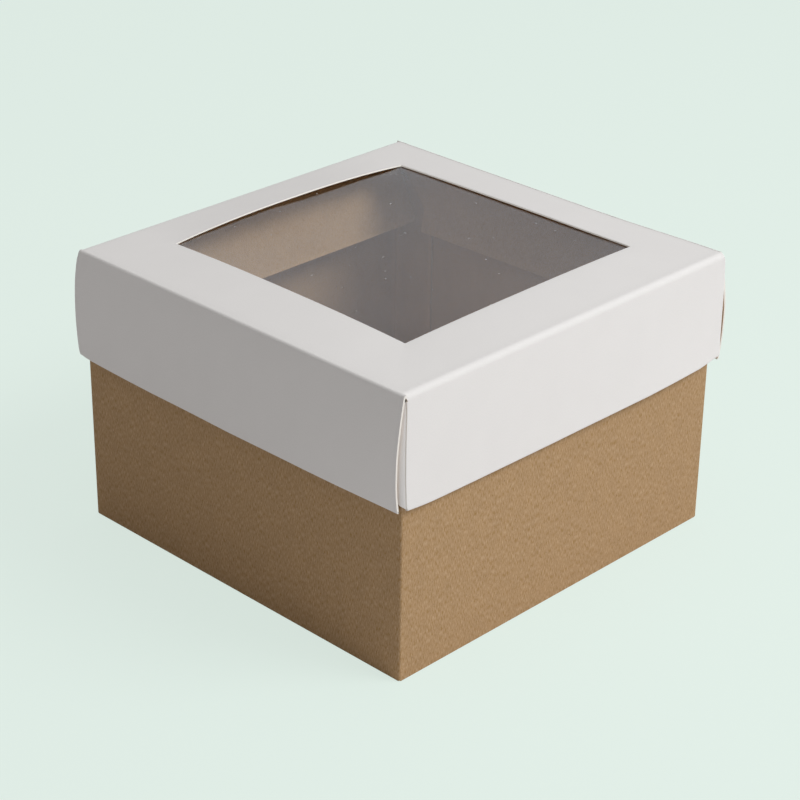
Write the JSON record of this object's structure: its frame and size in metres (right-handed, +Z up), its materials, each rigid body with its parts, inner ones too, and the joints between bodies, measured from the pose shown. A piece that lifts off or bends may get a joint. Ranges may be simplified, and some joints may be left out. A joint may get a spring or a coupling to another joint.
{
  "type": "gift box with window lid",
  "caption": "Square folding gift box: brown board tray with folded-in rim flaps and a white lift-off lid with a clear film window.",
  "frame": {"origin": "middle of the underside of the closed box, on the table", "axes": "+Z up, the way the lid lifts; -Y is the front; +X is the right, one of the two sides where the lid's walls end free and bulge"},
  "size_m": [0.157, 0.1528, 0.1033],
  "materials": {
    "kraft_board": "uncoated brown board with a fine fibre mottle, matt",
    "white_board": "white coated face, brown back, cream core at the cut edges, satin",
    "clear_film": "clear glossy film",
    "dried_glue": "thin dried adhesive"
  },
  "bodies": {
    "tray": {"tray_front_wall": "kraft_board", "tray_right_wall": "kraft_board", "tray_back_wall": "kraft_board", "tray_left_wall": "kraft_board", "tray_glue_flap": "kraft_board", "tray_seam_glue": "dried_glue", "tray_left_bottom_flap": "kraft_board", "tray_right_bottom_flap": "kraft_board", "tray_lock_flap": "kraft_board", "tray_slot_flap": "kraft_board"},
    "front_rim_flap": {"tray_front_rim_flap": "kraft_board"},
    "right_rim_flap": {"tray_right_rim_flap": "kraft_board"},
    "back_rim_flap": {"tray_back_rim_flap": "kraft_board"},
    "left_rim_flap": {"tray_left_rim_flap": "kraft_board"},
    "lid": {"lid_top_panel": "white_board", "lid_front_wall": "white_board", "lid_back_wall": "white_board", "lid_left_wall": "white_board", "lid_right_wall": "white_board", "lid_front_inner_panel": "white_board", "lid_back_inner_panel": "white_board", "lid_left_inner_panel": "white_board", "lid_right_inner_panel": "white_board", "lid_corner_flap_front_left": "white_board", "lid_corner_flap_front_right": "white_board", "lid_corner_flap_back_left": "white_board", "lid_corner_flap_back_right": "white_board", "window_film": "clear_film", "film_glue_front_left": "dried_glue", "film_glue_front_right": "dried_glue", "film_glue_back_left": "dried_glue", "film_glue_back_right": "dried_glue"}
  },
  "joints": [
    {"name": "lid_lift", "type": "slide", "parent": "tray", "child": "lid", "axis": [0, 0, 1], "range_m": [0, 0.08]},
    {"name": "front_rim_fold", "type": "hinge", "parent": "tray", "child": "front_rim_flap", "pos_m": [0, -0.07365, 0.09957], "axis": [1, 0, 0], "range_deg": [-24.5, 10], "stiffness_Nm_per_rad": 0.005},
    {"name": "right_rim_fold", "type": "hinge", "parent": "tray", "child": "right_rim_flap", "pos_m": [0.07365, 0, 0.09957], "axis": [0, 1, 0], "range_deg": [-6, 80], "stiffness_Nm_per_rad": 0.005},
    {"name": "back_rim_fold", "type": "hinge", "parent": "tray", "child": "back_rim_flap", "pos_m": [0, 0.07365, 0.09957], "axis": [-1, 0, 0], "range_deg": [-24.5, 10], "stiffness_Nm_per_rad": 0.005},
    {"name": "left_rim_fold", "type": "hinge", "parent": "tray", "child": "left_rim_flap", "pos_m": [-0.07365, 0, 0.09957], "axis": [0, -1, 0], "range_deg": [-8.5, 80], "stiffness_Nm_per_rad": 0.005}
  ]
}
